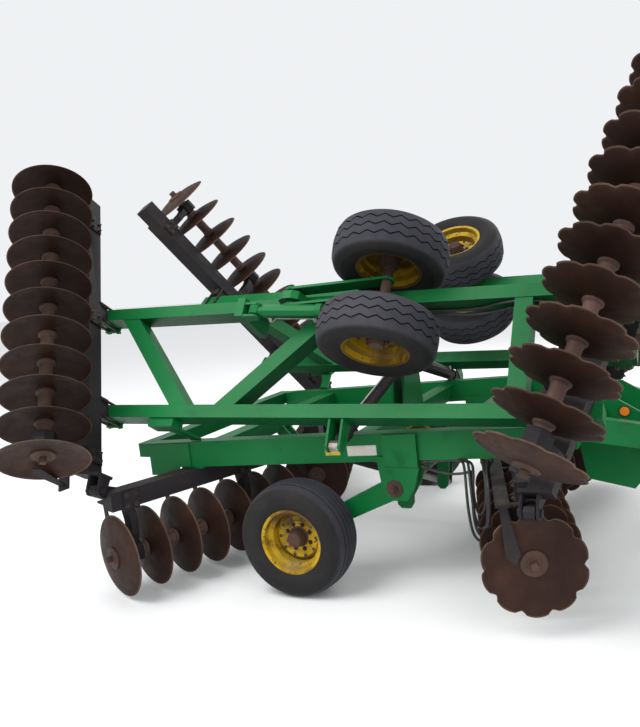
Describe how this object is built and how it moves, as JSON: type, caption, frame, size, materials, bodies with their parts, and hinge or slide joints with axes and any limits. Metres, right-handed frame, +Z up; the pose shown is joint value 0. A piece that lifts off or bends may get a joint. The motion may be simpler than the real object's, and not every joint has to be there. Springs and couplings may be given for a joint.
{
  "type": "folding tandem disc harrow",
  "caption": "Towed tandem disc harrow folded for the road: frame, hinged wings, disc gangs with scrapers, wheels on lift arms, cylinders, tongue and jack.",
  "frame": {"origin": "on the ground, on the centre line, under the middle of the overall length", "axes": "+X forward towards the hitch, +Y to the machine's left, +Z up"},
  "size_m": [6.3506, 4.2632, 3.0855],
  "materials": {
    "green_paint": "gloss, weathered",
    "dark_paint": "satin",
    "disc_steel": "rusted",
    "tyre_rubber": "matt",
    "yellow_paint": "gloss, weathered",
    "rod_steel": "satin"
  },
  "bodies": {
    "frame": {"main_frame": "green_paint", "hitch_tongue": "green_paint", "centre_front_beam_R": "dark_paint", "centre_rear_beam_R": "dark_paint", "centre_front_beam_L": "dark_paint", "centre_rear_beam_L": "dark_paint"},
    "jack": {"jack_leg": "dark_paint"},
    "centre_lift": {"centre_rockshaft": "green_paint"},
    "centre_lift_barrel": {"centre_lift_barrel": "dark_paint"},
    "centre_lift_rod": {"centre_lift_rod": "rod_steel"},
    "centre_wheel_R": {"centre_wheel_R_tyre": "tyre_rubber", "centre_wheel_R_rim": "yellow_paint"},
    "wing_R": {"wing_frame_R": "green_paint", "wing_front_beam_R": "dark_paint", "wing_rear_beam_R": "dark_paint"},
    "wing_lift_R": {"wing_rockshaft_R": "green_paint"},
    "wing_wheels_R": {"wing_wheel_R_1_tyre": "tyre_rubber", "wing_wheel_R_1_rim": "yellow_paint", "wing_wheel_R_2_tyre": "tyre_rubber", "wing_wheel_R_2_rim": "yellow_paint"},
    "fold_barrel_R": {"fold_R_barrel": "dark_paint"},
    "fold_rod_R": {"fold_R_rod": "rod_steel"},
    "wing_lift_barrel_R": {"wing_lift_R_barrel": "green_paint"},
    "wing_lift_rod_R": {"wing_lift_R_rod": "rod_steel"},
    "centre_front_gang_R": {"centre_front_discs_R": "disc_steel"},
    "wing_front_gang_R": {"wing_front_discs_R": "disc_steel"},
    "centre_rear_gang_R": {"centre_rear_discs_R": "disc_steel"},
    "wing_rear_gang_R": {"wing_rear_discs_R": "disc_steel"},
    "centre_wheel_L": {"centre_wheel_L_tyre": "tyre_rubber", "centre_wheel_L_rim": "yellow_paint"},
    "wing_L": {"wing_frame_L": "green_paint", "wing_front_beam_L": "dark_paint", "wing_rear_beam_L": "dark_paint"},
    "wing_lift_L": {"wing_rockshaft_L": "green_paint"},
    "wing_wheels_L": {"wing_wheel_L_1_tyre": "tyre_rubber", "wing_wheel_L_1_rim": "yellow_paint", "wing_wheel_L_2_tyre": "tyre_rubber", "wing_wheel_L_2_rim": "yellow_paint"},
    "fold_barrel_L": {"fold_L_barrel": "dark_paint"},
    "fold_rod_L": {"fold_L_rod": "rod_steel"},
    "wing_lift_barrel_L": {"wing_lift_L_barrel": "green_paint"},
    "wing_lift_rod_L": {"wing_lift_L_rod": "rod_steel"},
    "centre_front_gang_L": {"centre_front_discs_L": "disc_steel"},
    "wing_front_gang_L": {"wing_front_discs_L": "disc_steel"},
    "centre_rear_gang_L": {"centre_rear_discs_L": "disc_steel"},
    "wing_rear_gang_L": {"wing_rear_discs_L": "disc_steel"}
  },
  "joints": [
    {"name": "fold_R", "type": "hinge", "parent": "frame", "child": "wing_R", "pos_m": [-0.82467, -1.61, 0.776], "axis": [1, 0, 0], "range_deg": [0, 123.7]},
    {"name": "fold_barrel_R", "type": "hinge", "parent": "frame", "child": "fold_barrel_R", "pos_m": [-0.47467, -0.09, 1.32], "axis": [-1, 0, 0], "range_deg": [0, 5.73]},
    {"name": "fold_rod_R", "type": "slide", "parent": "fold_barrel_R", "child": "fold_rod_R", "axis": [0, -0.9618, -0.2738], "range_m": [0, 0.77395]},
    {"name": "wing_lift_R", "type": "hinge", "parent": "wing_R", "child": "wing_lift_R", "pos_m": [-0.92467, -1.5476, 0.73439], "axis": [0, -0.5548, -0.832], "range_deg": [0, 38]},
    {"name": "wing_wheels_R", "type": "hinge", "parent": "wing_lift_R", "child": "wing_wheels_R", "pos_m": [-0.22467, -1.00495, 1.63818], "axis": [0, -0.5548, -0.832], "continuous": true},
    {"name": "wing_lift_barrel_R", "type": "hinge", "parent": "wing_R", "child": "wing_lift_barrel_R", "pos_m": [-1.12467, -0.93281, 1.82746], "axis": [0, -0.5548, -0.832], "range_deg": [0, 27.87]},
    {"name": "wing_lift_rod_R", "type": "slide", "parent": "wing_lift_barrel_R", "child": "wing_lift_rod_R", "axis": [0.9939, 0.0919, -0.0613], "range_m": [-0.07886, 0]},
    {"name": "fold_L", "type": "hinge", "parent": "frame", "child": "wing_L", "pos_m": [-0.82467, 1.61, 0.776], "axis": [-1, 0, 0], "range_deg": [0, 123.7]},
    {"name": "fold_barrel_L", "type": "hinge", "parent": "frame", "child": "fold_barrel_L", "pos_m": [-0.47467, 0.09, 1.32], "axis": [1, 0, 0], "range_deg": [0, 5.73]},
    {"name": "fold_rod_L", "type": "slide", "parent": "fold_barrel_L", "child": "fold_rod_L", "axis": [0, 0.9618, -0.2738], "range_m": [0, 0.77395]},
    {"name": "wing_lift_L", "type": "hinge", "parent": "wing_L", "child": "wing_lift_L", "pos_m": [-0.92467, 1.5476, 0.73439], "axis": [0, -0.5548, 0.832], "range_deg": [0, 38]},
    {"name": "wing_wheels_L", "type": "hinge", "parent": "wing_lift_L", "child": "wing_wheels_L", "pos_m": [-0.22467, 1.00495, 1.63818], "axis": [0, -0.5548, 0.832], "continuous": true},
    {"name": "wing_lift_barrel_L", "type": "hinge", "parent": "wing_L", "child": "wing_lift_barrel_L", "pos_m": [-1.12467, 0.93281, 1.82746], "axis": [0, -0.5548, 0.832], "range_deg": [0, 27.87]},
    {"name": "wing_lift_rod_L", "type": "slide", "parent": "wing_lift_barrel_L", "child": "wing_lift_rod_L", "axis": [0.9939, -0.0919, -0.0613], "range_m": [-0.07886, 0]},
    {"name": "centre_lift", "type": "hinge", "parent": "frame", "child": "centre_lift", "pos_m": [-0.19467, 0, 0.67], "axis": [0, 1, 0], "range_deg": [0, 22]},
    {"name": "centre_lift_barrel", "type": "hinge", "parent": "frame", "child": "centre_lift_barrel", "pos_m": [-1.50467, 0, 0.7], "axis": [0, -1, 0], "range_deg": [0, 0.35584]},
    {"name": "centre_lift_rod", "type": "slide", "parent": "centre_lift_barrel", "child": "centre_lift_rod", "axis": [0.9736, 0, -0.2282], "range_m": [-0.1034, 0]},
    {"name": "centre_wheel_R", "type": "hinge", "parent": "centre_lift", "child": "centre_wheel_R", "pos_m": [-0.82467, -1.175, 0.378], "axis": [0, 1, 0], "continuous": true},
    {"name": "centre_wheel_L", "type": "hinge", "parent": "centre_lift", "child": "centre_wheel_L", "pos_m": [-0.82467, 1.175, 0.378], "axis": [0, 1, 0], "continuous": true},
    {"name": "centre_front_gang_R", "type": "hinge", "parent": "frame", "child": "centre_front_gang_R", "pos_m": [0.36143, -0.1485, 0.43], "axis": [0.299, -0.9542, 0], "continuous": true},
    {"name": "wing_front_gang_R", "type": "hinge", "parent": "wing_R", "child": "wing_front_gang_R", "pos_m": [0.85933, -1.87065, 1.09888], "axis": [0.299, 0.5295, 0.7939], "continuous": true},
    {"name": "centre_rear_gang_R", "type": "hinge", "parent": "frame", "child": "centre_rear_gang_R", "pos_m": [-1.50917, -0.3254, 0.31], "axis": [-0.3567, -0.9342, 0], "continuous": true},
    {"name": "wing_rear_gang_R", "type": "hinge", "parent": "wing_R", "child": "wing_rear_gang_R", "pos_m": [-2.13267, -1.87787, 1.08807], "axis": [-0.3567, 0.5183, 0.7772], "continuous": true},
    {"name": "centre_front_gang_L", "type": "hinge", "parent": "frame", "child": "centre_front_gang_L", "pos_m": [0.36143, 0.1485, 0.43], "axis": [0.299, 0.9542, 0], "continuous": true},
    {"name": "wing_front_gang_L", "type": "hinge", "parent": "wing_L", "child": "wing_front_gang_L", "pos_m": [0.85933, 1.87065, 1.09888], "axis": [0.299, -0.5295, 0.7939], "continuous": true},
    {"name": "centre_rear_gang_L", "type": "hinge", "parent": "frame", "child": "centre_rear_gang_L", "pos_m": [-1.50917, 0.3254, 0.31], "axis": [-0.3567, 0.9342, 0], "continuous": true},
    {"name": "wing_rear_gang_L", "type": "hinge", "parent": "wing_L", "child": "wing_rear_gang_L", "pos_m": [-2.13267, 1.87787, 1.08807], "axis": [-0.3567, -0.5183, 0.7772], "continuous": true},
    {"name": "jack", "type": "slide", "parent": "frame", "child": "jack", "axis": [0, 0, 1], "range_m": [0, 0.25]}
  ],
  "couplings": [
    {"joint": "fold_barrel_R", "follows": "fold_R", "ratio": 0.046354},
    {"joint": "fold_rod_R", "follows": "fold_R", "m_per_rad": 0.35847},
    {"joint": "wing_lift_barrel_R", "follows": "wing_lift_R", "ratio": 0.73352},
    {"joint": "wing_lift_rod_R", "follows": "wing_lift_R", "m_per_rad": -0.11887},
    {"joint": "fold_barrel_L", "follows": "fold_L", "ratio": 0.046354},
    {"joint": "fold_rod_L", "follows": "fold_L", "m_per_rad": 0.35847},
    {"joint": "wing_lift_barrel_L", "follows": "wing_lift_L", "ratio": 0.73352},
    {"joint": "wing_lift_rod_L", "follows": "wing_lift_L", "m_per_rad": -0.11887},
    {"joint": "centre_lift_barrel", "follows": "centre_lift", "ratio": 0.016129},
    {"joint": "centre_lift_rod", "follows": "centre_lift", "m_per_rad": -0.26923}
  ]
}
